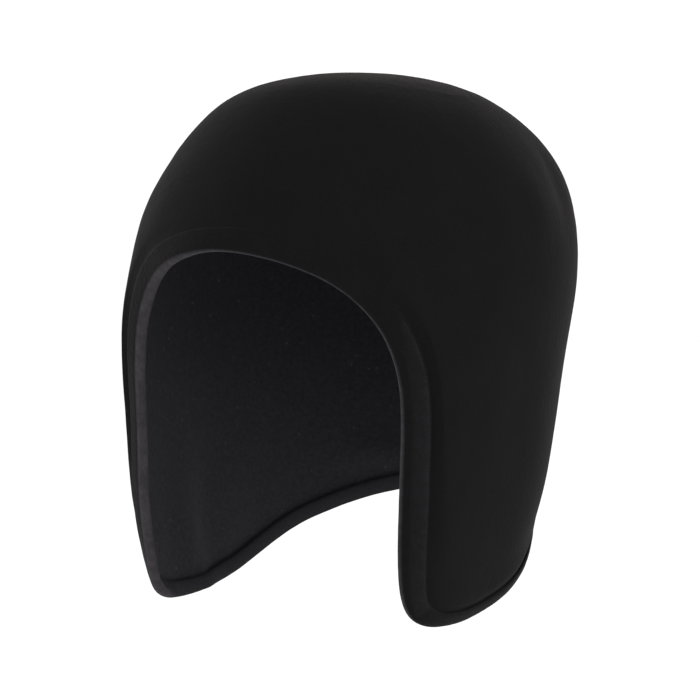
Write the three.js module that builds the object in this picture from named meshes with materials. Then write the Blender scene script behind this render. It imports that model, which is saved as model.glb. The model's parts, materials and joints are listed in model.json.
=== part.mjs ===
// Under-helmet cycling cap in fleece, with ear covers and no peak.
// Millimetres, +Z up, the front of the cap towards -Y, the wearer's left towards +X.
// The origin is the inside top of the crown, where the cap rests on the top of the head.
import * as THREE from 'three';

// Driving sizes, mm
const CLOTH = 2;              // wall of the crown
const SEAM_GAP = 0.3;         // between the crown's cut edge and a hem, and between the two hems
const FACE_HEM_WIDTH = 9;     // from the face edge to its seam
const NECK_HEM_WIDTH = 6.5;   // from the lower edge to its seam
const HEM_BLEND = 16;         // length of edge over which the one width passes into the other
const HEM_JOIN_BEARING = 52;  // where the face hem ends and the neck hem starts, on each side, degrees
const TUCK_REACH = 24;        // width of the strip that leans in along the edge

// Level cuts of the crown's outer face, from the top down. Columns: height below the top, half width,
// reach to the front and to the back of the origin, and how square the front and back halves are (2 is an ellipse).
const LEVELS = [
  { down: 0, side: 0, front: 0, back: 0, frontSquare: 2, backSquare: 2 },
  { down: 3, side: 27, front: 31, back: 32, frontSquare: 2, backSquare: 2 },
  { down: 12, side: 50, front: 51, back: 61, frontSquare: 2, backSquare: 2 },
  { down: 30, side: 68, front: 70, back: 83, frontSquare: 1.9, backSquare: 2.1 },
  { down: 52, side: 80, front: 86, back: 91, frontSquare: 1.85, backSquare: 2.15 },
  { down: 80, side: 83, front: 100, back: 88, frontSquare: 1.85, backSquare: 2.15 },
  { down: 115, side: 78, front: 105, back: 81, frontSquare: 2.3, backSquare: 2.15 },
  { down: 150, side: 73, front: 104, back: 75, frontSquare: 2.6, backSquare: 2.1 },
  { down: 190, side: 64.5, front: 103, back: 73, frontSquare: 2.6, backSquare: 2.1 },
  { down: 230, side: 50, front: 103, back: 71, frontSquare: 2.6, backSquare: 2.1 },
];

// The free edge of the cap on the wearer's left, from the middle of the forehead to the middle of the nape.
// Columns: bearing from the front in degrees, height below the top, and how far the free edge leans in.
const EDGE = [
  { name: 'forehead', bearing: 0, down: 63, tuck: 1 },
  { name: 'brow', bearing: 8, down: 64, tuck: 1.5 },
  { name: 'arch', bearing: 28, down: 74, tuck: 6 },
  { name: 'temple', bearing: 44, down: 105, tuck: 8.5 },
  { name: 'cheek', bearing: 46.5, down: 154, tuck: 8.5 },
  { name: 'cover front', bearing: 46.5, down: 187, tuck: 5.5 },
  { name: 'cover corner', bearing: 49, down: 199, tuck: 2 },
  { name: 'cover bottom', bearing: 61, down: 203, tuck: 0.5 },
  { name: 'cover middle', bearing: 78, down: 202.5, tuck: 0.5 },
  { name: 'cover rear', bearing: 103, down: 196, tuck: 0.5 },
  { name: 'behind the ear', bearing: 122, down: 186, tuck: 0.5 },
  { name: 'neck', bearing: 148, down: 174, tuck: 0.5 },
  { name: 'nape', bearing: 180, down: 166, tuck: 0.5 },
];

// Soft hollows and swells of the worn cloth. Columns: bearing and height below the top of the middle, how far out
// the cloth moves there (in, if below 0), and the distance from the middle at which most of that is gone.
const SWELLS = [
  { name: 'swell at the back of the crown', bearing: 132, down: 26, out: 1.4, reach: 20 },
  { name: 'hollow under the swell', bearing: 124, down: 58, out: -0.8, reach: 18 },
  { name: 'hollow behind the left ear', bearing: 124, down: 96, out: -1.4, reach: 30 },
  { name: 'swell at the right temple', bearing: -48, down: 88, out: 0.6, reach: 26 },
  { name: 'swell over the right ear cover', bearing: -62, down: 176, out: 4.6, reach: 36 },
];

// Cross-sections of the two hems, which pass into each other round the corners of the ear covers. Columns, for the
// hem round the face and the one round the neck: part of the hem's width from its free edge, and place along the
// cloth's outward normal, mm.
const HEM_SECTION = [
  { name: 'outer seam', faceAcross: 1, faceOut: 0, neckAcross: 1, neckOut: 0 },
  { name: 'ridge over the turned-in edge', faceAcross: 0.88, faceOut: 0.5, neckAcross: 0.82, neckOut: 0.4 },
  { name: 'foot of the ridge', faceAcross: 0.74, faceOut: 0.1, neckAcross: 0.64, neckOut: 0.3 },
  { name: 'outer face', faceAcross: 0.28, faceOut: 0, neckAcross: 0.36, neckOut: 0.1 },
  { name: 'outer turn', faceAcross: 0.08, faceOut: -0.7, neckAcross: 0.12, neckOut: -0.6 },
  { name: 'free edge', faceAcross: 0, faceOut: -2.2, neckAcross: 0, neckOut: -2.1 },
  { name: 'inner turn', faceAcross: 0.08, faceOut: -3.9, neckAcross: 0.12, neckOut: -3.6 },
  { name: 'inner swell', faceAcross: 0.3, faceOut: -4.6, neckAcross: 0.36, neckOut: -4.3 },
  { name: 'inner face', faceAcross: 0.7, faceOut: -3.6, neckAcross: 0.75, neckOut: -4.2 },
  { name: 'inner seam', faceAcross: 1, faceOut: -2.4, neckAcross: 1, neckOut: -3.5 },
];

// Mesh steps
const CROWN_ROWS = 18;
const COLUMNS = 84;
const SPREAD_ROWS = 0.1;      // part of the crown, from the top, over which its columns stay evenly spread
const EDGE_SAMPLES = 480;     // places at which the run of the free edge is measured
const EDGE_TURN = 1.4;        // what a degree of bearing counts for between rows of EDGE, mm
const HALVINGS = 40;          // turns of a search that halves its range
const SLOPE_STEP = 1e-3;      // step over which slopes of the form are measured
const LEAST_SIZE = 1e-6;      // keeps the very top, where a level cut is a point, from a division by zero

const CLOTH_FINISH = { color: 0x1b1b1e, roughness: 0.95, metalness: 0 };
const HEM_FINISH = { color: 0x1f1f22, roughness: 0.95, metalness: 0 };

// A smooth curve through one column of a table, whose rows stand at the knots.
// An end is level where the shape mirrors into itself there, and free elsewhere.
function columnSpline(knots, values, levelStart, levelEnd) {
  const last = values.length - 1;
  const below = new Array(last + 1).fill(0);
  const middle = new Array(last + 1).fill(1);
  const above = new Array(last + 1).fill(0);
  const right = new Array(last + 1).fill(0);
  const rise = (i) => (values[i + 1] - values[i]) / (knots[i + 1] - knots[i]);
  for (let i = 1; i < last; i++) {
    below[i] = knots[i] - knots[i - 1];
    above[i] = knots[i + 1] - knots[i];
    middle[i] = 2 * (below[i] + above[i]);
    right[i] = 6 * (rise(i) - rise(i - 1));
  }
  if (levelStart) {
    above[0] = knots[1] - knots[0];
    middle[0] = 2 * above[0];
    right[0] = 6 * rise(0);
  }
  if (levelEnd) {
    below[last] = knots[last] - knots[last - 1];
    middle[last] = 2 * below[last];
    right[last] = -6 * rise(last - 1);
  }
  for (let i = 1; i <= last; i++) {
    const share = below[i] / middle[i - 1];
    middle[i] -= share * above[i - 1];
    right[i] -= share * right[i - 1];
  }
  const bend = new Array(last + 1).fill(0);
  for (let i = last; i >= 0; i--) {
    bend[i] = (right[i] - above[i] * (i < last ? bend[i + 1] : 0)) / middle[i];
  }
  return (at) => {
    let i = 0;
    while (i < last - 1 && at > knots[i + 1]) i++;
    const step = knots[i + 1] - knots[i];
    const p = (knots[i + 1] - at) / step;
    const q = 1 - p;
    return p * values[i] + q * values[i + 1]
      + ((p ** 3 - p) * bend[i] + (q ** 3 - q) * bend[i + 1]) * step * step / 6;
  };
}

const levelKnots = LEVELS.map((row, index) => index / (LEVELS.length - 1));
const levelColumn = (name, levelTop) => columnSpline(levelKnots, LEVELS.map((row) => row[name]), levelTop, false);
const downAt = levelColumn('down', true);
const sideAt = levelColumn('side', false);
const frontAt = levelColumn('front', false);
const backAt = levelColumn('back', false);
const frontSquareAt = levelColumn('frontSquare', true);
const backSquareAt = levelColumn('backSquare', true);

// A point of the crown's smooth form. bearing is in radians from the front, level runs from 0 at the top to 1.
function smoothPoint(bearing, level) {
  const toFront = Math.cos(bearing) > 0;
  const reach = Math.max(toFront ? frontAt(level) : backAt(level), LEAST_SIZE);
  const side = Math.max(sideAt(level), LEAST_SIZE);
  const square = toFront ? frontSquareAt(level) : backSquareAt(level);
  const acrossPart = (Math.abs(Math.sin(bearing)) / side) ** square;
  const alongPart = (Math.abs(Math.cos(bearing)) / reach) ** square;
  const radius = 1 / (acrossPart + alongPart) ** (1 / square);
  return new THREE.Vector3(radius * Math.sin(bearing), -radius * Math.cos(bearing), CLOTH - downAt(level));
}

const swells = SWELLS.map((row) => ({
  middle: smoothPoint(THREE.MathUtils.degToRad(row.bearing), levelOfDown(row.down)),
  out: row.out,
  reach: row.reach,
}));

// The same point with the swells and hollows of the worn cloth, which move it away from the cap's upright middle.
function shellPoint(bearing, level) {
  const point = smoothPoint(bearing, level);
  let out = 0;
  for (const swell of swells) {
    out += swell.out * Math.exp(-((point.distanceTo(swell.middle) / swell.reach) ** 2));
  }
  point.x += out * Math.sin(bearing);
  point.y -= out * Math.cos(bearing);
  return point;
}

// The face's slopes along bearing and level, and its outward normal.
function shellFrame(bearing, level) {
  const near = Math.max(level, 2 * SLOPE_STEP);
  const slope = (after, before) => after.sub(before).divideScalar(2 * SLOPE_STEP);
  const alongBearing = slope(shellPoint(bearing + SLOPE_STEP, near), shellPoint(bearing - SLOPE_STEP, near));
  const alongLevel = slope(shellPoint(bearing, near + SLOPE_STEP), shellPoint(bearing, near - SLOPE_STEP));
  const normal = new THREE.Vector3().crossVectors(alongLevel, alongBearing).normalize();
  return { alongBearing, alongLevel, normal };
}

function levelOfDown(down) {
  let low = 0;
  let high = 1;
  for (let turn = 0; turn < HALVINGS; turn++) {
    const middle = (low + high) / 2;
    if (downAt(middle) < down) low = middle;
    else high = middle;
  }
  return (low + high) / 2;
}

// The free edge of both sides, from the nape over the forehead round to the nape: its length, and a station at any
// run of it, with its bearing and level, its tuck, and the direction into the cap along the cloth.
function edgeStations() {
  const knots = [0];
  for (let i = 1; i < EDGE.length; i++) {
    const turn = (EDGE[i].bearing - EDGE[i - 1].bearing) * EDGE_TURN;
    knots.push(knots[i - 1] + Math.sqrt(Math.hypot(turn, EDGE[i].down - EDGE[i - 1].down)));
  }
  const bearingAt = columnSpline(knots, EDGE.map((row) => row.bearing), false, false);
  const edgeDownAt = columnSpline(knots, EDGE.map((row) => row.down), true, true);
  const edgeTuckAt = columnSpline(knots, EDGE.map((row) => row.tuck), true, true);
  const place = (run) => {
    const at = Math.abs(run) * knots[knots.length - 1];
    const bearing = Math.sign(run) * THREE.MathUtils.degToRad(bearingAt(at));
    const level = levelOfDown(edgeDownAt(at));
    return { bearing, level, tuck: edgeTuckAt(at), point: shellPoint(bearing, level) };
  };
  const fine = [];
  for (let i = 0; i <= EDGE_SAMPLES; i++) fine.push(place(-1 + 2 * i / EDGE_SAMPLES));
  const runs = [0];
  for (let i = 1; i <= EDGE_SAMPLES; i++) runs.push(runs[i - 1] + fine[i].point.distanceTo(fine[i - 1].point));
  const length = runs[EDGE_SAMPLES];
  const stationAt = (run) => {
    const wanted = Math.min(Math.max(run, 0), length);
    let i = 0;
    while (i < EDGE_SAMPLES - 1 && runs[i + 1] < wanted) i++;
    const share = (wanted - runs[i]) / (runs[i + 1] - runs[i]);
    const here = place(-1 + 2 * (i + share) / EDGE_SAMPLES);
    const before = place(Math.max(-1, -1 + 2 * (i + share - 0.5) / EDGE_SAMPLES)).point;
    const after = place(Math.min(1, -1 + 2 * (i + share + 0.5) / EDGE_SAMPLES)).point;
    const frame = shellFrame(here.bearing, here.level);
    const inward = new THREE.Vector3().crossVectors(frame.normal, after.sub(before).normalize()).normalize();
    return { ...here, run: wanted, inward };
  };
  return { length, stationAt };
}

const edge = edgeStations();
const middleRun = edge.length / 2;

// The run of edge, from the forehead, at which the left side's edge passes a bearing.
function runOfBearing(degrees) {
  let low = 0;
  let high = middleRun;
  for (let turn = 0; turn < HALVINGS; turn++) {
    const middle = (low + high) / 2;
    if (THREE.MathUtils.radToDeg(edge.stationAt(middleRun + middle).bearing) < degrees) low = middle;
    else high = middle;
  }
  return (low + high) / 2;
}

// The crown and the hems share their columns, so that their facets stay a gap apart all along the seam.
const columnStep = edge.length / COLUMNS;
const joinSteps = Math.round(runOfBearing(HEM_JOIN_BEARING) / columnStep);
const joinRun = joinSteps * columnStep;

// How far the hem at a run of edge is that round the neck: 0 round the face, 1 round the neck, smooth in between.
function neckShare(run) {
  const past = (Math.abs(run - middleRun) - joinRun) / HEM_BLEND + 0.5;
  return THREE.MathUtils.smoothstep(past, 0, 1);
}

function hemWidth(run) {
  return THREE.MathUtils.lerp(FACE_HEM_WIDTH, NECK_HEM_WIDTH, neckShare(run));
}

// The section of the hem at a run of edge: distances in from the free edge, and out along the cloth's normal.
function hemSection(run) {
  const share = neckShare(run);
  return HEM_SECTION.map((row) => ({
    across: hemWidth(run) * THREE.MathUtils.lerp(row.faceAcross, row.neckAcross, share),
    out: THREE.MathUtils.lerp(row.faceOut, row.neckOut, share),
  }));
}

// Bearing and level of the place that lies a distance in from the edge, along the cloth.
function stepIn(station, distance) {
  const { alongBearing, alongLevel } = shellFrame(station.bearing, station.level);
  const wanted = station.inward.clone().multiplyScalar(distance);
  const bb = alongBearing.dot(alongBearing);
  const bl = alongBearing.dot(alongLevel);
  const ll = alongLevel.dot(alongLevel);
  const wb = wanted.dot(alongBearing);
  const wl = wanted.dot(alongLevel);
  const whole = bb * ll - bl * bl;
  return {
    bearing: station.bearing + (wb * ll - wl * bl) / whole,
    level: station.level + (wl * bb - wb * bl) / whole,
  };
}

// How far the cloth leans in at a distance from a station of the free edge.
function tuckAt(station, distance) {
  const near = Math.max(0, 1 - distance / TUCK_REACH);
  return station.tuck * near * near;
}

// A point of the cloth: a distance in from a station of the edge, and a distance out along the normal.
function clothPoint(station, distance, out) {
  const { bearing, level } = stepIn(station, distance);
  const { normal } = shellFrame(bearing, level);
  return shellPoint(bearing, level).addScaledVector(normal, out - tuckAt(station, distance));
}

function meshOf(name, points, triangles, finish) {
  const geometry = new THREE.BufferGeometry();
  const position = new Float32Array(points.flatMap((point) => point.toArray()));
  geometry.setAttribute('position', new THREE.BufferAttribute(position, 3));
  geometry.setIndex(triangles.flat());
  geometry.computeVertexNormals();
  const mesh = new THREE.Mesh(geometry, new THREE.MeshStandardMaterial(finish));
  mesh.name = name;
  return mesh;
}

// The crown: a wall of even thickness from the top down to the seams of the hems.
// Its rows run round the cap. Its columns leave the top evenly spread and end evenly spread along the seam.
function crown() {
  const columns = [];
  for (let j = 0; j < COLUMNS; j++) {
    const run = j * columnStep;
    const station = edge.stationAt(run);
    const seamIn = hemWidth(run) + SEAM_GAP;
    const seam = stepIn(station, seamIn);
    columns.push({ station, seamIn, seam, spread: -Math.PI + (2 * Math.PI * j) / COLUMNS });
  }
  const facePoint = (column, row, out) => {
    const share = row / CROWN_ROWS;
    const turn = Math.max(0, (share - SPREAD_ROWS) / (1 - SPREAD_ROWS)) ** 2;
    const bearing = THREE.MathUtils.lerp(column.spread, column.seam.bearing, turn);
    const level = column.seam.level * share;
    const { normal } = shellFrame(bearing, level);
    const point = shellPoint(bearing, level);
    const toSeam = point.distanceTo(shellPoint(column.seam.bearing, column.seam.level));
    return point.addScaledVector(normal, out - tuckAt(column.station, column.seamIn + toSeam));
  };
  const points = [];
  const triangles = [];
  const face = (out) => {
    const first = points.length;
    points.push(new THREE.Vector3(0, 0, CLOTH + out));
    for (let row = 1; row <= CROWN_ROWS; row++) {
      for (const column of columns) points.push(facePoint(column, row, out));
    }
    return (row, j) => (row === 0 ? first : first + 1 + (row - 1) * COLUMNS + (j % COLUMNS));
  };
  const outer = face(0);
  const inner = face(-CLOTH);
  for (let j = 0; j < COLUMNS; j++) {
    triangles.push([outer(0, 0), outer(1, j), outer(1, j + 1)]);
    triangles.push([inner(0, 0), inner(1, j + 1), inner(1, j)]);
    for (let row = 1; row < CROWN_ROWS; row++) {
      triangles.push([outer(row, j), outer(row + 1, j), outer(row + 1, j + 1)]);
      triangles.push([outer(row, j), outer(row + 1, j + 1), outer(row, j + 1)]);
      triangles.push([inner(row, j), inner(row + 1, j + 1), inner(row + 1, j)]);
      triangles.push([inner(row, j), inner(row, j + 1), inner(row + 1, j + 1)]);
    }
    triangles.push([outer(CROWN_ROWS, j), inner(CROWN_ROWS, j), inner(CROWN_ROWS, j + 1)]);
    triangles.push([outer(CROWN_ROWS, j), inner(CROWN_ROWS, j + 1), outer(CROWN_ROWS, j + 1)]);
  }
  return meshOf('crown', points, triangles, CLOTH_FINISH);
}

// A hem: its section swept along the edge over a number of column steps, with a flat cut at each end.
function hem(name, fromRun, steps) {
  const points = [];
  const triangles = [];
  const sides = HEM_SECTION.length;
  for (let i = 0; i <= steps; i++) {
    const atEnd = i === 0 ? SEAM_GAP / 2 : i === steps ? -SEAM_GAP / 2 : 0;
    const station = edge.stationAt((fromRun + i * columnStep + atEnd) % edge.length);
    for (const place of hemSection(station.run)) points.push(clothPoint(station, place.across, place.out));
  }
  const at = (i, k) => i * sides + (k % sides);
  for (let i = 0; i < steps; i++) {
    for (let k = 0; k < sides; k++) {
      triangles.push([at(i, k), at(i, k + 1), at(i + 1, k + 1)]);
      triangles.push([at(i, k), at(i + 1, k + 1), at(i + 1, k)]);
    }
  }
  const outline = hemSection(fromRun).map((place) => new THREE.Vector2(place.across, place.out));
  for (const [a, b, c] of THREE.ShapeUtils.triangulateShape(outline, [])) {
    triangles.push([at(0, c), at(0, b), at(0, a)]);
    triangles.push([at(steps, a), at(steps, b), at(steps, c)]);
  }
  return meshOf(name, points, triangles, HEM_FINISH);
}

const cap = new THREE.Group();
cap.add(crown());
cap.add(hem('face_band', middleRun - joinRun, 2 * joinSteps));
cap.add(hem('neck_band', middleRun + joinRun, COLUMNS - 2 * joinSteps));

export default cap;
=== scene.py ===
# Under-helmet cycling cap in fleece: the looks of its crown and hems, and a plain studio.
import json
import math

import bmesh
import bpy
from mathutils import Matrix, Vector, noise
from mathutils.bvhtree import BVHTree
from mathutils.kdtree import KDTree

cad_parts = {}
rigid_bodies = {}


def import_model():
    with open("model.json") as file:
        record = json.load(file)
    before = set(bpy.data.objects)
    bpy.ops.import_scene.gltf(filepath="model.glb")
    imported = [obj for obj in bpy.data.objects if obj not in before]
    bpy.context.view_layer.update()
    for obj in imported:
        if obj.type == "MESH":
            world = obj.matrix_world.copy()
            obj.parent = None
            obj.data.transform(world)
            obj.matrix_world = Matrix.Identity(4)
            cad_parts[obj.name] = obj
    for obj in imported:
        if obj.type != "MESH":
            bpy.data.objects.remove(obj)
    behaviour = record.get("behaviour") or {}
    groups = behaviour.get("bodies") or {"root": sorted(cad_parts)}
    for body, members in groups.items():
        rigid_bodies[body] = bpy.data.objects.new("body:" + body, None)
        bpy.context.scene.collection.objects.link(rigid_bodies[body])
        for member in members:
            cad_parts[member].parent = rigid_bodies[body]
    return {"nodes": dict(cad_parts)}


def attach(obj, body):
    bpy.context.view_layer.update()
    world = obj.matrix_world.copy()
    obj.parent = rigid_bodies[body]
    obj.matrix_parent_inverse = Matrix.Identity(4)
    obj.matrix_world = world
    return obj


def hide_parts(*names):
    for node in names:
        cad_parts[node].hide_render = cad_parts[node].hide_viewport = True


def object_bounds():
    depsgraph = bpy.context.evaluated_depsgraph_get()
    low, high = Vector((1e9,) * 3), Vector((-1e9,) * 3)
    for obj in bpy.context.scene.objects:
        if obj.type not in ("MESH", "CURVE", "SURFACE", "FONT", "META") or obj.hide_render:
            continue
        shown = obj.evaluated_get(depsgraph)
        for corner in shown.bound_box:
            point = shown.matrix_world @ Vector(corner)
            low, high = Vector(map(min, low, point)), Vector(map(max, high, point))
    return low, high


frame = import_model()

SOLIDS_BOX = [list(corner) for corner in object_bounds()]

bl_info = {
    "name": "Under-helmet Cycling Cap",
    "version": (1, 0, 0),
    "blender": (4, 5, 0),
    "location": "3D View > Sidebar > Cap",
    "description": "Fleece crown and rolled hems of an under-helmet cycling cap, in a plain studio",
    "category": "Add Mesh",
}

BODY = "root"
CLOTH_SLOT = "fleece"
HEM_SLOT = "hem_fleece"
MM = 0.001
MERGE = 0.001 * MM
MIDDLE = (Vector(SOLIDS_BOX[0]) + Vector(SOLIDS_BOX[1])) / 2
SMOOTHING_LEVELS = 2

# The patch of squares at the top of the crown: how many rings of faces it takes the place of, and how many
# squares it has along a side, which is a quarter of the crown's columns
TOP_RINGS = 4
TOP_SPAN = 21
TOP_CLEAR = 50 * MM
TOP_SMOOTHING = 0.5

# Where the crown's cut edge meets the seam side of a hem: how near their faces are, and how squarely they
# look at each other
SEAM_REACH = 1.0 * MM
FACING = -0.7
WELD = 0.5 * MM

# The crown's rows next to the seam. Columns: distance from the seam, and how far out the cloth lies there by
# the hem of the face, by the hem of the neck and where the seam doesn't show, mm. One more row lies part of
# the way from these to the next row of the crown.
SEAM_ROWS = (
    {"name": "under the hem", "away": 0.0, "face_out": -0.75, "neck_out": -0.65, "plain_out": -0.12},
    {"name": "groove", "away": 1.2, "face_out": -0.65, "neck_out": -0.4, "plain_out": -0.02},
    {"name": "rise", "away": 2.8, "face_out": -0.25, "neck_out": 0.45, "plain_out": 0.0},
)
LAST_ROW_SHARE = 0.4

# The hem's rings from its outer seam round its free edge to its inner seam. Columns: how far each is moved
# out along the cloth's normal by the face, by the neck and where the seam doesn't show, mm; how much of the
# light nap shows there, which is partly the nap's own lighter tone and partly painted light: a painted
# highlight on the ridge, on the near hem's outer face and on the turned edge; and by the neck, how much of
# the inner face's colour.
HEM_RINGS = (
    {"name": "outer seam", "face_out": -0.25, "neck_out": 0.05, "plain_out": -0.02, "nap": 0, "inside": 0},
    {"name": "ridge", "face_out": 0.25, "neck_out": 0.1, "plain_out": -0.5, "nap": 0.42, "inside": 0},
    {"name": "foot of ridge", "face_out": 0.15, "neck_out": 0, "plain_out": -0.1, "nap": 0.39, "inside": 0},
    {"name": "outer face", "face_out": 0, "neck_out": 0, "plain_out": 0, "nap": 0.38, "inside": 0},
    {"name": "outer turn", "face_out": 0, "neck_out": 0, "plain_out": 0, "nap": 0.42, "inside": 0},
    {"name": "free edge", "face_out": 0, "neck_out": 0, "plain_out": 0, "nap": 1, "inside": 0.2},
    {"name": "inner turn", "face_out": 0, "neck_out": 0, "plain_out": 0, "nap": 1, "inside": 0.6},
    {"name": "inner swell", "face_out": 0, "neck_out": 0, "plain_out": 0, "nap": 0.7, "inside": 1},
    {"name": "inner face", "face_out": 0, "neck_out": 0, "plain_out": 0, "nap": 0, "inside": 1},
    {"name": "inner seam", "face_out": -0.4, "neck_out": -0.2, "plain_out": -0.4, "nap": 0, "inside": 0.5},
)

# The first rings lie on the hem's outer face, where the nap is painted light. Where the hem is rolled
# outwards, the nap and its painted highlight come further round it, and by the neck, whose edge faces down,
# only a share of them shows: painted shade.
OUTER_RINGS = 4
ROLLED_NAP_AND_LIGHT = {"outer face": 0.25, "outer turn": 0.6}
NECK_NAP_IN_SHADE = 0.3

# How the face hem lies. Columns: bearing from the front towards the wearer's left, degrees, and what shows
# there: how much of the seam's relief; how much painted light lies on the hem's outer face, a painted
# highlight on the near side, which faces the light; how much of the nap of its free edge, partly painted
# highlight; and how far that edge is rolled outwards.
HEM_LIE = (
    {"name": "right cheek", "bearing": -50, "relief": 0.8, "outer_painted_light": 0, "edge_nap_and_light": 1, "roll": 1},
    {"name": "right temple", "bearing": -38, "relief": 0.4, "outer_painted_light": 0, "edge_nap_and_light": 1, "roll": 1},
    {"name": "right brow", "bearing": -14, "relief": 0.12, "outer_painted_light": 0, "edge_nap_and_light": 0.8, "roll": 0.2},
    {"name": "forehead", "bearing": 0, "relief": 0.1, "outer_painted_light": 0, "edge_nap_and_light": 0.62, "roll": 0},
    {"name": "left brow", "bearing": 32, "relief": 0.1, "outer_painted_light": 0.2, "edge_nap_and_light": 0.6, "roll": 0},
    {"name": "left temple", "bearing": 43, "relief": 0.8, "outer_painted_light": 0.95, "edge_nap_and_light": 0.66, "roll": 0},
    {"name": "left cheek", "bearing": 50, "relief": 1, "outer_painted_light": 1, "edge_nap_and_light": 0.9, "roll": 0},
)

# Soft waves of the worn cloth. Columns: length of a wave and how far it moves the cloth, mm. Each is shifted
# by so many of its lengths against the one before, and the seed draws where all of them start.
WAVES = (
    {"name": "slack of the cloth", "length": 42, "move": 0.45},
    {"name": "give between the seams", "length": 17, "move": 0.16},
    {"name": "unevenness of the pile", "length": 5, "move": 0.07},
)
WAVE_SHIFT = 7.3
WAVE_SEED = 1

# Soft folds of the worn cloth. Columns: bearing from the front towards the wearer's left, degrees, and height
# below the top of the middle, mm; half length and half width, mm; lean from upright, degrees; and how far the
# inner face and the outer face move away from the cap's upright middle line, mm.
FOLDS = (
    {"name": "front fold inside the right ear cover", "bearing": -77, "down": 182, "length": 30, "width": 7,
     "lean": 7, "inner": -1.9, "outer": -0.3},
    {"name": "hollow behind the front fold", "bearing": -90, "down": 170, "length": 24, "width": 7,
     "lean": 9, "inner": 0.8, "outer": 0.5},
    {"name": "rear fold inside the right ear cover", "bearing": -104, "down": 158, "length": 20, "width": 8,
     "lean": 12, "inner": -0.7, "outer": 0.2},
    {"name": "pull above the nape", "bearing": -157, "down": 152, "length": 7, "width": 17,
     "lean": 0, "inner": -1.8, "outer": -0.4},
    {"name": "dent at the back of the crown", "bearing": 112, "down": 40, "length": 18, "width": 9,
     "lean": -24, "inner": -0.8, "outer": -1.4},
    {"name": "swell before the dent", "bearing": 92, "down": 44, "length": 14, "width": 9,
     "lean": -20, "inner": 0.4, "outer": 0.9},
    {"name": "pinch at the rear of the left ear cover", "bearing": 120, "down": 174, "length": 14,
     "width": 20, "lean": 0, "inner": -1.6, "outer": -1.6},
    {"name": "dent over the left ear", "bearing": 84, "down": 120, "length": 26, "width": 12,
     "lean": 12, "inner": -0.3, "outer": -0.5},
)

# Cloudy patterns of the fleece. Columns: size of the lumps, mm, and how many finer layers they have; and for
# those that give relief, its depth, mm, and strength.
PATTERNS = {
    "crown mottle": {"size": 19, "layers": 3},
    "hem mottle": {"size": 12, "layers": 3},
    "crown pile": {"size": 2.4, "layers": 3, "depth": 0.35, "strength": 0.5},
    "hem pile": {"size": 1.8, "layers": 3, "depth": 0.4, "strength": 0.6},
    "short nap": {"size": 0.55, "layers": 4, "depth": 0.2, "strength": 0.6},
    "nap tufts": {"size": 3.5, "layers": 2},
    "brushed clumps": {"size": 1.6, "layers": 3, "depth": 0.5, "strength": 0.5},
    "brushed fibres": {"size": 0.4, "layers": 4, "depth": 0.2, "strength": 0.6},
    "torn edges of lint": {"size": 0.7, "layers": 2},
}
LINT_SPACING = 5 * MM

# How a pattern's values are used. Columns: the stretch of them, and what its two ends become. Outside of it
# they stay at what the nearer end becomes.
RANGES = {
    "mottle": {"low": 0.3, "high": 0.7, "at_low": 0, "at_high": 1},
    "fibre tips": {"low": 0.35, "high": 0.75, "at_low": 0, "at_high": 0.55},
    "roughness": {"low": 0.3, "high": 0.7, "at_low": 0.88, "at_high": 1},
    "clumps": {"low": 0.3, "high": 0.75, "at_low": 0, "at_high": 1},
    "specks of lint": {"low": 0.16, "high": 0.06, "at_low": 0, "at_high": 1},
    "torn edges": {"low": 0.52, "high": 0.64, "at_low": 0, "at_high": 1},
    "brushed": {"low": 0.3, "high": 0.7, "at_low": 0, "at_high": 1},
    "tufts": {"low": 0.35, "high": 0.65, "at_low": 0, "at_high": 1},
    "turned edge": {"low": 0.35, "high": 0.65, "at_low": 0, "at_high": 1},
}

# Shares of its colour between which each part of the fleece varies
TONES = {
    "crown": {"dark": 0.93, "light": 1.08},
    "hem": {"dark": 0.93, "light": 1.1},
    "inner face": {"dark": 0.82, "light": 1.2},
    "inner face of the hem": {"dark": 0.8, "light": 1.15},
    "low tufts": {"dark": 0.6, "light": 0.85},
    "high tufts": {"dark": 0.85, "light": 1.2},
}
FIBRE_TIPS = 1.6
LINT = 3.5

# Values on each material's own shader
FINISHES = {
    "black_fleece_outside": {
        "Specular IOR Level": 0.025,
        "Sheen Weight": 0.038,
        "Sheen Roughness": 0.35,
        "Sheen Tint": (1, 0.93, 0.9, 1),
    },
    "black_fleece_inside": {
        "Roughness": 1,
        "Specular IOR Level": 0.03,
        "Sheen Weight": 0.06,
        "Sheen Roughness": 0.5,
    },
    "black_fleece_hem": {
        "Roughness": 1,
        "Specular IOR Level": 0.025,
        "Sheen Weight": 0.06,
        "Sheen Roughness": 0.35,
    },
    "pale_floor": {"Roughness": 0.9},
}

# The photograph's frame, in pixels: its side, and where the point that the camera aims at lies from its
# middle
FRAME_SIDE = 700
AIM_RIGHT = 4.8
AIM_UP = 15.5
CLIP_START = 0.05
FLOOR_SIZE = 40
WHITE = (1, 1, 1, 1)

# Lamps. Columns: bearing from the front towards the wearer's left, degrees, height and width, m, power, W,
# and colour.
SOFTBOXES = (
    {"name": "left_softbox", "bearing": 92, "height": 0.1, "width": 1, "power": 8,
     "colour": (1, 0.88, 0.86)},
    {"name": "right_softbox", "bearing": -80, "height": 0.1, "width": 1, "power": 9,
     "colour": (1, 0.96, 0.97)},
    {"name": "low_softbox", "bearing": 40, "height": -0.35, "width": 0.8, "power": 3,
     "colour": (1, 0.99, 1)},
)


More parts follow.
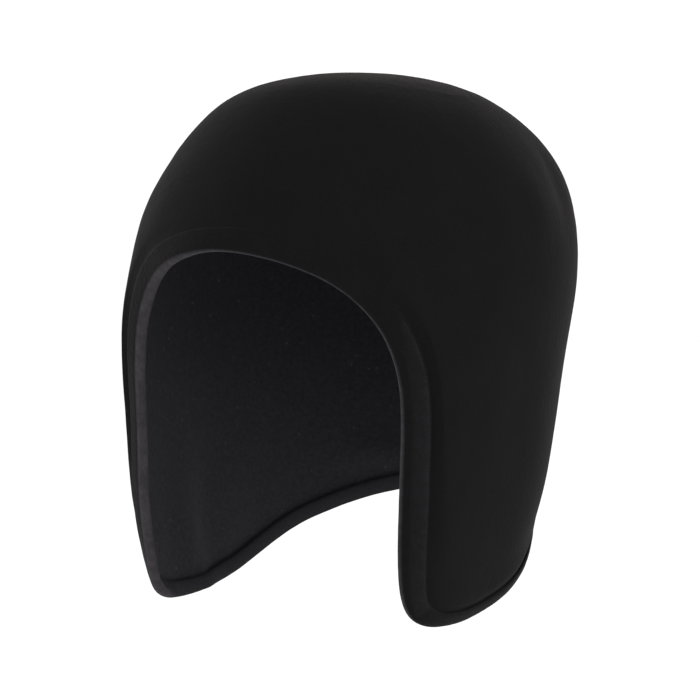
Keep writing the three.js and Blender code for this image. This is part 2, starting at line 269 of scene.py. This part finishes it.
class CapCloth(bpy.types.PropertyGroup):
    """Sizes and colours of the fleece."""

    outer_colour: bpy.props.FloatVectorProperty(
        name="Outer Face",
        description="Colour of the smooth outer face",
        subtype="COLOR",
        size=4,
        min=0,
        max=1,
        default=(0.0057, 0.0057, 0.006, 1),
    )
    inner_colour: bpy.props.FloatVectorProperty(
        name="Inner Face",
        description="Colour of the brushed inner face",
        subtype="COLOR",
        size=4,
        min=0,
        max=1,
        default=(0.0225, 0.0222, 0.026, 1),
    )
    # Partly painted highlight: this colour is lighter than the nap alone and stands in for the light that the
    # turned edge, the ridge and the near hem catch.
    nap_and_highlight_colour: bpy.props.FloatVectorProperty(
        name="Turned Edge",
        description="Colour of the brushed nap where the cloth turns over at a hem's free edge",
        subtype="COLOR",
        size=4,
        min=0,
        max=1,
        default=(0.037, 0.0345, 0.039, 1),
    )
    edge_in_hem: bpy.props.FloatProperty(
        name="Edge in the Hem",
        description="How far the crown's edge reaches into the slot of a hem",
        subtype="DISTANCE",
        default=1.6 * MM,
    )
    slot_depth: bpy.props.FloatProperty(
        name="Slot Depth",
        description="Depth of the slot in a hem's seam side, which takes the crown's edge",
        subtype="DISTANCE",
        default=2.0 * MM,
    )
    slot_lip: bpy.props.FloatProperty(
        name="Slot Lip",
        description="Thickness of the hem's cloth on each side of the slot",
        subtype="DISTANCE",
        default=0.35 * MM,
    )


class CapStudio(bpy.types.PropertyGroup):
    """Camera, floor and light."""

    azimuth: bpy.props.FloatProperty(
        name="Azimuth",
        description="Bearing of the camera from the front of the cap, towards the wearer's left",
        subtype="ANGLE",
        default=math.radians(32),
    )
    elevation: bpy.props.FloatProperty(
        name="Elevation",
        description="Height of the camera over the level of the cap's middle",
        subtype="ANGLE",
        default=math.radians(4.5),
    )
    distance: bpy.props.FloatProperty(
        name="Distance",
        description="From the cap's middle to the camera",
        subtype="DISTANCE",
        default=1.1,
    )
    lens: bpy.props.FloatProperty(
        name="Lens",
        description="Focal length on a sensor 36 mm wide",
        subtype="DISTANCE_CAMERA",
        default=148.2,
    )
    aim_height: bpy.props.FloatProperty(
        name="Aim Height",
        description="Height of the point on the cap's middle line that the camera aims at",
        subtype="DISTANCE",
        default=-0.098,
    )
    lamp_distance: bpy.props.FloatProperty(
        name="Lamp Distance",
        description="From the cap's middle line to each lamp",
        subtype="DISTANCE",
        default=1.6,
    )
    room_light: bpy.props.FloatProperty(
        name="Room Light",
        description="Strength of the light from the white room",
        default=1.1,
    )
    floor_drop: bpy.props.FloatProperty(
        name="Floor Drop",
        description="From the lowest point of the cap, which is held up, down to the floor",
        subtype="DISTANCE",
        default=0.25,
    )
    floor_colour: bpy.props.FloatVectorProperty(
        name="Floor",
        description="Colour of the floor",
        subtype="COLOR",
        size=4,
        min=0,
        max=1,
        default=(0.95, 0.95, 0.95, 1),
    )


def deselect():
    """Selects nothing and leaves edit mode."""
    if bpy.context.object and bpy.context.object.mode == "EDIT":
        bpy.ops.object.mode_set(mode="OBJECT")
    for thing in list(bpy.context.selected_objects):
        thing.select_set(False)


def activate(piece):
    """Makes a piece the only one selected, and the active one."""
    deselect()
    piece.select_set(True)
    bpy.context.view_layer.objects.active = piece


def node_copy(node, name):
    """A copy of a node's mesh, merged, as the piece to model from."""
    mesh = frame["nodes"][node].data.copy()
    mesh.materials.clear()
    piece = bpy.data.objects.new(name, mesh)
    bpy.context.scene.collection.objects.link(piece)
    activate(piece)
    bpy.ops.mesh.customdata_custom_splitnormals_clear()
    bpy.ops.object.mode_set(mode="EDIT")
    bpy.ops.mesh.select_all(action="SELECT")
    bpy.ops.mesh.remove_doubles(threshold=MERGE)
    bpy.ops.object.mode_set(mode="OBJECT")
    return piece


def discard(guide):
    """Removes a guide that a piece was fitted to."""
    mesh = guide.data
    materials = list(mesh.materials)
    bpy.data.objects.remove(guide)
    bpy.data.meshes.remove(mesh)
    for material in materials:
        bpy.data.materials.remove(material)


def select_parts(piece, mode, wanted):
    """Selects the corners, edges or faces that a test picks, and leaves the piece in edit mode."""
    activate(piece)
    bpy.ops.object.mode_set(mode="EDIT")
    bpy.ops.mesh.select_mode(type=mode)
    bpy.ops.mesh.select_all(action="DESELECT")
    mesh = bmesh.from_edit_mesh(piece.data)
    for part in {"VERT": mesh.verts, "EDGE": mesh.edges, "FACE": mesh.faces}[mode]:
        part.select_set(bool(wanted(part)))
    mesh.select_flush_mode()
    bmesh.update_edit_mesh(piece.data)


def make_quads(piece):
    """Joins the triangles of a piece in pairs."""
    activate(piece)
    bpy.ops.object.mode_set(mode="EDIT")
    bpy.ops.mesh.select_all(action="SELECT")
    bpy.ops.mesh.tris_convert_to_quads(face_threshold=math.pi, shape_threshold=math.pi, topology_influence=2)
    bpy.ops.object.mode_set(mode="OBJECT")


def subdivide(piece):
    """Adds a subdivision surface and applies it."""
    activate(piece)
    modifier = piece.modifiers.new("Smooth Cloth", "SUBSURF")
    modifier.levels = SMOOTHING_LEVELS
    modifier.render_levels = SMOOTHING_LEVELS
    bpy.ops.object.modifier_apply(modifier=modifier.name)


def wear(piece):
    """Moves a piece's points by the soft waves of the worn cloth, which all pieces share."""
    noise.seed_set(WAVE_SEED)
    for vertex in piece.data.vertices:
        shift = Vector()
        for order, wave in enumerate(WAVES):
            place = vertex.co / (wave["length"] * MM) + Vector((WAVE_SHIFT * order, 0, 0))
            shift += noise.noise_vector(place) * wave["move"] * MM
        vertex.co += shift


def bearing_of(place):
    """Bearing from the front towards the wearer's left, in degrees."""
    return math.degrees(math.atan2(place.x, -place.y))


def hem_lie(column, place):
    """A column of HEM_LIE at a place."""
    bearing = bearing_of(place)
    before = HEM_LIE[0]
    for after in HEM_LIE:
        if bearing < after["bearing"]:
            part = (bearing - before["bearing"]) / max(after["bearing"] - before["bearing"], 1)
            return before[column] + max(part, 0) * (after[column] - before[column])
        before = after
    return before[column]


def relief(row, neck, place):
    """How far a row or ring at the seam is moved out, from the hem that it lies by and what shows there."""
    by_hem = row["face_out"] * (1 - neck) + row["neck_out"] * neck
    show = hem_lie("relief", place)
    return (row["plain_out"] * (1 - show) + by_hem * show) * MM


def fold(piece):
    """Moves a finished shell by its soft folds, the inner face and the outer face each in its own way."""
    faces = ["outer" if v.normal.dot(v.co - MIDDLE) > 0 else "inner" for v in piece.data.vertices]
    for vertex, face in zip(piece.data.vertices, faces):
        co = vertex.co
        radius = math.hypot(co.x, co.y)
        if radius < MERGE:
            continue
        bearing = bearing_of(co)
        move = 0
        for row in FOLDS:
            round_it = math.radians((bearing - row["bearing"] + 180) % 360 - 180) * radius / MM
            below = -co.z / MM - row["down"]
            lean = math.radians(row["lean"])
            across = round_it * math.cos(lean) - below * math.sin(lean)
            along = round_it * math.sin(lean) + below * math.cos(lean)
            move += row[face] * math.exp(-((across / row["width"]) ** 2) - (along / row["length"]) ** 2)
        vertex.co += Vector((co.x, co.y, 0)) / radius * move * MM


def hand_in(piece, slot, *nodes):
    """Smooth shading, the body and the replaced nodes of a finished piece. The slot is not used."""
    activate(piece)
    bpy.ops.object.shade_smooth()
    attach(piece, BODY)
    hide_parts(*nodes)
    deselect()


def corner_tree(mesh, corners):
    """A tree of chosen corners of a mesh, for finding the nearest."""
    tree = KDTree(len(corners))
    for corner in corners:
        tree.insert(mesh.vertices[corner].co, corner)
    tree.balance()
    return tree


def facing_faces(piece, other):
    """The faces of one piece that lie against faces of the other, all along the seam."""
    others = list(other.data.polygons)
    tree = KDTree(len(others))
    for order, face in enumerate(others):
        tree.insert(face.center, order)
    tree.balance()
    found = set()
    for face in piece.data.polygons:
        _place, order, distance = tree.find(face.center)
        if distance < SEAM_REACH and face.normal.dot(others[order].normal) < FACING:
            found.add(face.index)
    return found


def seam_faces(piece, guide):
    """The faces of a piece along the seam, which match those of its guide one by one."""
    found = facing_faces(piece, guide)
    if len(found) != len(facing_faces(guide, piece)):
        raise RuntimeError(f"{piece.name} and {guide.name} don't match along the seam")
    return found


def outward(co, other_co):
    """True where a corner lies further from the cap's upright middle line than the other one."""
    return math.hypot(co.x, co.y) > math.hypot(other_co.x, other_co.y)


def new_material(name):
    """A material with its finish, its shader and its node tree."""
    material = bpy.data.materials.new(name)
    material.use_nodes = True
    shader = material.node_tree.nodes["Principled BSDF"]
    for socket, value in FINISHES[name].items():
        shader.inputs[socket].default_value = value
    return material, shader, material.node_tree


def add_pattern(tree, name):
    """A cloudy pattern of the fleece."""
    coordinates = tree.nodes.new("ShaderNodeTexCoord")
    texture = tree.nodes.new("ShaderNodeTexNoise")
    texture.inputs["Scale"].default_value = 1 / (PATTERNS[name]["size"] * MM)
    texture.inputs["Detail"].default_value = PATTERNS[name]["layers"]
    tree.links.new(coordinates.outputs["Object"], texture.inputs["Vector"])
    return texture.outputs["Fac"]


def add_range(tree, value, name):
    """A value brought from one range to another."""
    ranged = tree.nodes.new("ShaderNodeMapRange")
    ranged.inputs["From Min"].default_value = RANGES[name]["low"]
    ranged.inputs["From Max"].default_value = RANGES[name]["high"]
    ranged.inputs["To Min"].default_value = RANGES[name]["at_low"]
    ranged.inputs["To Max"].default_value = RANGES[name]["at_high"]
    tree.links.new(value, ranged.inputs["Value"])
    return ranged.outputs["Result"]


def add_mix(tree, share, first, second):
    """A mix of two colours, or of the outputs of nodes."""
    mix = tree.nodes.new("ShaderNodeMix")
    mix.data_type = "RGBA"
    tree.links.new(share, mix.inputs["Factor"])
    for socket, colour in (("A", first), ("B", second)):
        target = [s for s in mix.inputs if s.name == socket and s.type == "RGBA"][0]
        if isinstance(colour, bpy.types.NodeSocket):
            tree.links.new(colour, target)
        else:
            target.default_value = colour
    return [s for s in mix.outputs if s.type == "RGBA"][0]


def add_tones(tree, share, colour, part):
    """A colour that varies as a part of the fleece does."""
    tones = TONES[part]
    return add_mix(tree, share, shade(colour, tones["dark"]), shade(colour, tones["light"]))


def add_bump(tree, height, name, under=None):
    """The relief of a pattern, on another relief where one is given."""
    bump = tree.nodes.new("ShaderNodeBump")
    bump.inputs["Distance"].default_value = PATTERNS[name]["depth"] * MM
    bump.inputs["Strength"].default_value = PATTERNS[name]["strength"]
    tree.links.new(height, bump.inputs["Height"])
    if under:
        tree.links.new(under, bump.inputs["Normal"])
    return bump.outputs["Normal"]


def add_attribute(tree, name):
    """An attribute of the mesh."""
    attribute = tree.nodes.new("ShaderNodeAttribute")
    attribute.attribute_name = name
    return attribute.outputs["Fac"]


def shade(colour, factor):
    """A colour made darker or lighter."""
    return (colour[0] * factor, colour[1] * factor, colour[2] * factor, 1)


def add_short_nap(tree, settings, part):
    """The colour of the smooth, short-napped outer face, and the pattern of its nap."""
    mottle = add_range(tree, add_pattern(tree, f"{part} mottle"), "mottle")
    nap = add_pattern(tree, "short nap")
    cloth = add_tones(tree, mottle, settings.outer_colour, part)
    tips = add_range(tree, nap, "fibre tips")
    return add_mix(tree, tips, cloth, shade(settings.outer_colour, FIBRE_TIPS)), nap


def outer_fleece(settings):
    """The smooth, short-napped outer face."""
    material, shader, tree = new_material("black_fleece_outside")
    cloth, nap = add_short_nap(tree, settings, "crown")
    tree.links.new(cloth, shader.inputs["Base Color"])
    pile = add_bump(tree, add_pattern(tree, "crown pile"), "crown pile")
    tree.links.new(add_bump(tree, nap, "short nap", pile), shader.inputs["Normal"])
    tree.links.new(add_range(tree, nap, "roughness"), shader.inputs["Roughness"])
    return material


def add_lint(tree):
    """Where the few light specks of lint lie: small spots with torn edges."""
    coordinates = tree.nodes.new("ShaderNodeTexCoord")
    cells = tree.nodes.new("ShaderNodeTexVoronoi")
    cells.inputs["Scale"].default_value = 1 / LINT_SPACING
    tree.links.new(coordinates.outputs["Object"], cells.inputs["Vector"])
    torn = tree.nodes.new("ShaderNodeMath")
    torn.operation = "MULTIPLY"
    tree.links.new(add_range(tree, cells.outputs["Distance"], "specks of lint"), torn.inputs[0])
    tree.links.new(add_range(tree, add_pattern(tree, "torn edges of lint"), "torn edges"), torn.inputs[1])
    return torn.outputs["Value"]


def inner_fleece(settings):
    """The brushed inner face, with soft clumps and a few light specks of lint."""
    material, shader, tree = new_material("black_fleece_inside")
    clumps = add_pattern(tree, "brushed clumps")
    fibres = add_pattern(tree, "brushed fibres")
    cloth = add_tones(tree, add_range(tree, clumps, "clumps"), settings.inner_colour, "inner face")
    lint = shade(settings.inner_colour, LINT)
    tree.links.new(add_mix(tree, add_lint(tree), cloth, lint), shader.inputs["Base Color"])
    pile = add_bump(tree, clumps, "brushed clumps")
    tree.links.new(add_bump(tree, fibres, "brushed fibres", pile), shader.inputs["Normal"])
    return material


def hem_fleece(settings):
    """The hem's cloth: the outer face, and the light nap where it turns over the free edge, whose lighter
    colour is partly the nap's own and partly painted highlight.
    """
    material, shader, tree = new_material("black_fleece_hem")
    cloth, nap = add_short_nap(tree, settings, "hem")
    brushed = add_range(tree, nap, "brushed")
    inner = add_tones(tree, brushed, settings.inner_colour, "inner face of the hem")
    cloth = add_mix(tree, add_attribute(tree, "inside"), cloth, inner)
    tufts = add_range(tree, add_pattern(tree, "nap tufts"), "tufts")
    low_tufts = add_tones(tree, brushed, settings.nap_and_highlight_colour, "low tufts")
    high_tufts = add_tones(tree, brushed, settings.nap_and_highlight_colour, "high tufts")
    edge = add_mix(tree, tufts, low_tufts, high_tufts)
    # The attribute nap mixes in the light colour: the nap's own lighter tone, with painted highlight on the
    # turned edge, the ridge and the near hem.
    turned = add_range(tree, add_attribute(tree, "nap"), "turned edge")
    tree.links.new(add_mix(tree, turned, cloth, edge), shader.inputs["Base Color"])
    pile = add_bump(tree, add_pattern(tree, "hem pile"), "hem pile")
    tree.links.new(add_bump(tree, nap, "short nap", pile), shader.inputs["Normal"])
    return material


def crown_grid(name):
    """The crown in squares. Its rows run from the top over the cut edge to the top of the inside."""
    crown = node_copy("crown", name)
    select_parts(crown, "EDGE", lambda edge: False)
    mesh = bmesh.from_edit_mesh(crown.data)
    top = max((vert for vert in mesh.verts if len(vert.link_edges) > TOP_SPAN), key=lambda vert: vert.co.z)
    rows = {top: 0}
    front = [top]
    while front:
        following = []
        for vert in front:
            for edge in vert.link_edges:
                other = edge.other_vert(vert)
                if other not in rows:
                    rows[other] = rows[vert] + 1
                    following.append(other)
        front = following
    cut_edge_row = (max(rows.values()) - 1) // 2
    for face in mesh.faces:
        first_row = min(rows[vert] for vert in face.verts)
        starts = [loop for loop in face.loops if rows[loop.vert] == first_row]
        if len(starts) == 1 and first_row > 0:
            outside = first_row <= cut_edge_row
            diagonal = starts[0].link_loop_prev.edge if outside else starts[0].edge
            diagonal.select_set(True)
    bmesh.update_edit_mesh(crown.data)
    bpy.ops.mesh.dissolve_edges(use_verts=False)
    bpy.ops.object.mode_set(mode="OBJECT")
    return crown


def round_top(crown):
    """Puts an even patch of squares in place of the fan of faces at the top, inside and outside."""
    mesh = crown.data
    tree = BVHTree.FromPolygons([v.co for v in mesh.vertices], [p.vertices for p in mesh.polygons])
    select_parts(crown, "VERT", lambda vert: len(vert.link_edges) > TOP_SPAN)
    for _ring in range(TOP_RINGS):
        bpy.ops.mesh.select_more(use_face_step=True)
    bpy.ops.mesh.delete(type="FACE")
    for side in (1, -1):
        bpy.ops.mesh.select_mode(type="EDGE")
        bpy.ops.mesh.select_all(action="DESELECT")
        mesh = bmesh.from_edit_mesh(crown.data)
        for edge in mesh.edges:
            edge.select_set(edge.is_boundary and edge.link_faces[0].normal.z * side > 0)
        old = set(mesh.verts)
        bmesh.update_edit_mesh(crown.data)
        bpy.ops.mesh.fill_grid(span=TOP_SPAN)
        mesh = bmesh.from_edit_mesh(crown.data)
        for vert in mesh.verts:
            if vert.select and vert not in old:
                far_off = Vector((vert.co.x, vert.co.y, side * TOP_CLEAR))
                vert.co = tree.ray_cast(far_off, Vector((0, 0, -side)))[0]
        bmesh.update_edit_mesh(crown.data)
        bpy.ops.mesh.select_less()
        bpy.ops.mesh.vertices_smooth(factor=TOP_SMOOTHING)
    bpy.ops.object.mode_set(mode="OBJECT")


def seam_ways(mesh, faces):
    """For each corner of a ring of faces along the seam: the corner across the cloth, and the way along."""
    links = {}
    for index in faces:
        for first, second in mesh.polygons[index].edge_keys:
            links.setdefault(first, set()).add(second)
            links.setdefault(second, set()).add(first)
    ways = {}
    for corner, others in links.items():
        here = mesh.vertices[corner].co
        partner = min(others, key=lambda other: (mesh.vertices[other].co - here).length)
        after, before = [mesh.vertices[other].co for other in others - {partner}]
        ways[corner] = (partner, (after - before).normalized())
    return ways


def tuck_seam(crown, rim, hem, reach_in):
    """Adds rows next to the seam, dips the cloth there and lengthens its edge into the slot of the hems."""
    mesh = crown.data
    shares = neck_shares(hem)
    hem_tree = corner_tree(hem.data, range(len(hem.data.vertices)))
    ways = seam_ways(mesh, rim)
    moves = []
    for edge in mesh.edges:
        inside = [index for index in edge.vertices if index in ways]
        if len(inside) != 1:
            continue
        corner = mesh.vertices[inside[0]].co
        upper = mesh.vertices[sum(edge.vertices) - inside[0]].co
        partner, along = ways[inside[0]]
        across = corner - mesh.vertices[partner].co
        normal = across.normalized() if outward(corner, mesh.vertices[partner].co) else Vector()
        slant = upper - corner
        reach = (slant - along * slant.dot(along)).length
        neck = shares[hem_tree.find(corner)[1]]
        away = [row["away"] * MM for row in SEAM_ROWS]
        away.append(away[-1] + LAST_ROW_SHARE * (reach - away[-1]))
        outs = [relief(row, neck, corner) for row in SEAM_ROWS] + [0]
        for order, (distance, out) in enumerate(zip(away, outs)):
            target = corner.lerp(upper, distance / reach) + normal * out
            moves.append((corner.lerp(upper, order / len(away)), target))
    place_tree = KDTree(len(moves))
    for order, (place, _target) in enumerate(moves):
        place_tree.insert(place, order)
    place_tree.balance()

    select_parts(crown, "EDGE", lambda edge: len({v.index for v in edge.verts} & set(ways)) == 1)
    bpy.ops.mesh.subdivide(number_cuts=len(SEAM_ROWS))
    bpy.ops.object.mode_set(mode="OBJECT")
    for vertex in mesh.vertices:
        _place, order, distance = place_tree.find(vertex.co)
        if distance < MERGE:
            vertex.co = moves[order][1]
    select_parts(crown, "FACE", lambda face: face.index in rim)
    bpy.ops.mesh.extrude_region_shrink_fatten(TRANSFORM_OT_shrink_fatten={"value": reach_in})
    bpy.ops.object.mode_set(mode="OBJECT")


def neck_shares(hem):
    """For each corner of the ring of hem, 0 by the face, 1 by the neck, and between them near the join."""
    shares = [0.0] * len(hem.data.vertices)
    counts = [0] * len(hem.data.vertices)
    for face in hem.data.polygons:
        for index in face.vertices:
            shares[index] += face.material_index
            counts[index] += 1
    return [share / count for share, count in zip(shares, counts)]


def hem_ring(name):
    """One closed ring of hem round the edge, joined from copies of both hems, with a material for each."""
    ring = node_copy("face_band", name)
    neck_part = node_copy("neck_band", "neck_part")
    end_corners = {}
    for piece, other in ((ring, neck_part), (neck_part, ring)):
        tree = corner_tree(other.data, range(len(other.data.vertices)))
        end_corners[piece.name] = {v.index for v in piece.data.vertices if tree.find(v.co)[2] < WELD}
    for piece in (ring, neck_part):
        corners = end_corners[piece.name]
        select_parts(piece, "FACE", lambda face: all(v.index in corners for v in face.verts))
        bpy.ops.mesh.delete(type="ONLY_FACE")
        bpy.ops.mesh.select_mode(type="EDGE")
        bpy.ops.mesh.select_all(action="DESELECT")
        bpy.ops.mesh.select_loose()
        bpy.ops.mesh.delete(type="EDGE")
        bpy.ops.object.mode_set(mode="OBJECT")
        piece.data.materials.append(bpy.data.materials.new(piece.name))
    activate(ring)
    neck_part.select_set(True)
    bpy.ops.object.join()
    bpy.ops.object.mode_set(mode="EDIT")
    bpy.ops.mesh.select_all(action="SELECT")
    bpy.ops.mesh.remove_doubles(threshold=WELD)
    bpy.ops.object.mode_set(mode="OBJECT")
    make_quads(ring)
    return ring


def shape_hem(hem, wall, settings):
    """Raises the hem's ridge, marks its nap and its painted light and opens the slot for the crown's edge in
    its seam side.
    """
    mesh = hem.data
    neighbours = [set() for _vertex in mesh.vertices]
    for first, second in mesh.edge_keys:
        neighbours[first].add(second)
        neighbours[second].add(first)
    ways = seam_ways(mesh, wall)
    out_way = {}
    for corner, (partner, _along) in ways.items():
        here, there = mesh.vertices[corner].co, mesh.vertices[partner].co
        if outward(here, there):
            out_way[corner] = (here - there).normalized()
    rings = [set(out_way)]
    seen = set(ways)
    while len(rings) < len(HEM_RINGS) - 1:
        ring = {n for index in rings[-1] for n in neighbours[index]} - seen
        rings.append(ring)
        seen |= ring
    rings.append(set(ways) - set(out_way))
    shares = neck_shares(hem)
    seam_tree = corner_tree(mesh, out_way)
    mesh.attributes.new("nap", "FLOAT", "POINT")
    mesh.attributes.new("inside", "FLOAT", "POINT")
    nap, inside = mesh.attributes["nap"], mesh.attributes["inside"]
    moved = {}
    for order, (ring, row) in enumerate(zip(rings, HEM_RINGS)):
        for index in ring:
            here = mesh.vertices[index].co
            way = out_way[seam_tree.find(here)[1]]
            moved[index] = here + way * relief(row, shares[index], here)
            # Painted light: the nap's share is a painted highlight on the ridge and the near hem, and it is
            # lower by the neck, where the edge faces down.
            shows = row["nap"] * hem_lie("outer_painted_light" if order < OUTER_RINGS else "edge_nap_and_light", here)
            shows += ROLLED_NAP_AND_LIGHT.get(row["name"], 0) * hem_lie("roll", here)
            nap.data[index].value = shows * (1 - shares[index] + shares[index] * NECK_NAP_IN_SHADE)
            inside.data[index].value = row["inside"] * shares[index]
    for index, place in moved.items():
        mesh.vertices[index].co = place
    select_parts(hem, "FACE", lambda face: face.index in wall)
    bpy.ops.mesh.inset(thickness=settings.slot_lip, use_even_offset=True)
    bpy.ops.mesh.extrude_region_shrink_fatten(TRANSFORM_OT_shrink_fatten={"value": -settings.slot_depth})
    bpy.ops.object.mode_set(mode="OBJECT")


class CAP_OT_crown(bpy.types.Operator):
    """Models the crown, whose edge lies in the slot of the hems"""

    bl_idname = "cap.crown"
    bl_label = "Crown"

    def execute(self, context):
        cloth = context.scene.cap_cloth
        crown = crown_grid("crown_cloth")
        guide = hem_ring("hem_guide")
        tuck_seam(crown, seam_faces(crown, guide), guide, cloth.edge_in_hem)
        discard(guide)
        round_top(crown)
        crown.data.materials.append(outer_fleece(cloth))
        crown.data.materials.append(inner_fleece(cloth))
        for face in crown.data.polygons:
            face.material_index = int(face.normal.dot(face.center - MIDDLE) < 0)
        subdivide(crown)
        wear(crown)
        fold(crown)
        hand_in(crown, CLOTH_SLOT, "crown")
        return {"FINISHED"}


class CAP_OT_hems(bpy.types.Operator):
    """Models the rolled hems of the face and the neck as one ring, with a slot for the crown's edge"""

    bl_idname = "cap.hems"
    bl_label = "Hems"

    def execute(self, context):
        cloth = context.scene.cap_cloth
        hem = hem_ring("rolled_hem")
        guide = crown_grid("crown_guide")
        shape_hem(hem, seam_faces(hem, guide), cloth)
        discard(guide)
        subdivide(hem)
        wear(hem)
        fold(hem)
        fleece = hem_fleece(cloth)
        hem.data.materials[0] = fleece
        hem.data.materials[1] = fleece
        hand_in(hem, HEM_SLOT, "face_band", "neck_band")
        return {"FINISHED"}


class CAP_OT_studio(bpy.types.Operator):
    """Adds the pale floor, the soft lights and the camera"""

    bl_idname = "cap.studio"
    bl_label = "Studio"

    def execute(self, context):
        studio = context.scene.cap_studio
        deselect()
        floor_z = SOLIDS_BOX[0][2] - studio.floor_drop
        bpy.ops.mesh.primitive_plane_add(size=FLOOR_SIZE, location=(0, 0, floor_z))
        floor = context.object
        floor.name = "studio_floor"
        bpy.ops.object.transform_apply(location=True, rotation=True, scale=True)
        material, shader, _tree = new_material("pale_floor")
        shader.inputs["Base Color"].default_value = studio.floor_colour
        floor.data.materials.append(material)

        aim = Vector((0, 0, studio.aim_height))
        turn, rise = studio.azimuth, studio.elevation
        away = Vector((math.sin(turn) * math.cos(rise), -math.cos(turn) * math.cos(rise), math.sin(rise)))
        bpy.ops.object.camera_add(location=aim + studio.distance * away)
        camera = context.object
        camera.name = "camera"
        camera.rotation_euler = (-away).to_track_quat("-Z", "Y").to_euler()
        camera.data.lens = studio.lens
        camera.data.shift_x = -AIM_RIGHT / FRAME_SIDE
        camera.data.shift_y = -AIM_UP / FRAME_SIDE
        camera.data.clip_start = CLIP_START
        context.scene.camera = camera

        world = bpy.data.worlds.new("white_room")
        world.use_nodes = True
        world.node_tree.nodes["Background"].inputs["Color"].default_value = WHITE
        world.node_tree.nodes["Background"].inputs["Strength"].default_value = studio.room_light
        context.scene.world = world
        context.scene.view_settings.view_transform = "Standard"

        for row in SOFTBOXES:
            turn = math.radians(row["bearing"])
            reach = studio.lamp_distance
            place = Vector((reach * math.sin(turn), -reach * math.cos(turn), row["height"]))
            bpy.ops.object.light_add(type="AREA", location=place)
            lamp = context.object
            lamp.name = row["name"]
            lamp.data.energy = row["power"]
            lamp.data.size = row["width"]
            lamp.data.color = row["colour"]
            lamp.rotation_euler = (aim - place).to_track_quat("-Z", "Y").to_euler()
        deselect()
        return {"FINISHED"}


class CAP_PT_panel(bpy.types.Panel):
    """Lists the steps that build the cap"""

    bl_idname = "CAP_PT_panel"
    bl_label = "Cycling Cap"
    bl_space_type = "VIEW_3D"
    bl_region_type = "UI"
    bl_category = "Cap"

    def draw(self, context):
        layout = self.layout
        for settings in (context.scene.cap_cloth, context.scene.cap_studio):
            for key in settings.bl_rna.properties.keys():
                if key not in ("rna_type", "name"):
                    layout.prop(settings, key)
        for operator in OPERATORS:
            layout.operator(operator.bl_idname)


OPERATORS = (CAP_OT_crown, CAP_OT_hems, CAP_OT_studio)
CLASSES = (CapCloth, CapStudio, *OPERATORS, CAP_PT_panel)


def register():
    for cls in CLASSES:
        bpy.utils.register_class(cls)
    bpy.types.Scene.cap_cloth = bpy.props.PointerProperty(type=CapCloth)
    bpy.types.Scene.cap_studio = bpy.props.PointerProperty(type=CapStudio)


def unregister():
    del bpy.types.Scene.cap_studio
    del bpy.types.Scene.cap_cloth
    for cls in reversed(CLASSES):
        bpy.utils.unregister_class(cls)


def main():
    register()
    bpy.ops.cap.crown()
    bpy.ops.cap.hems()
    bpy.ops.cap.studio()


if __name__ == "__main__":
    main()
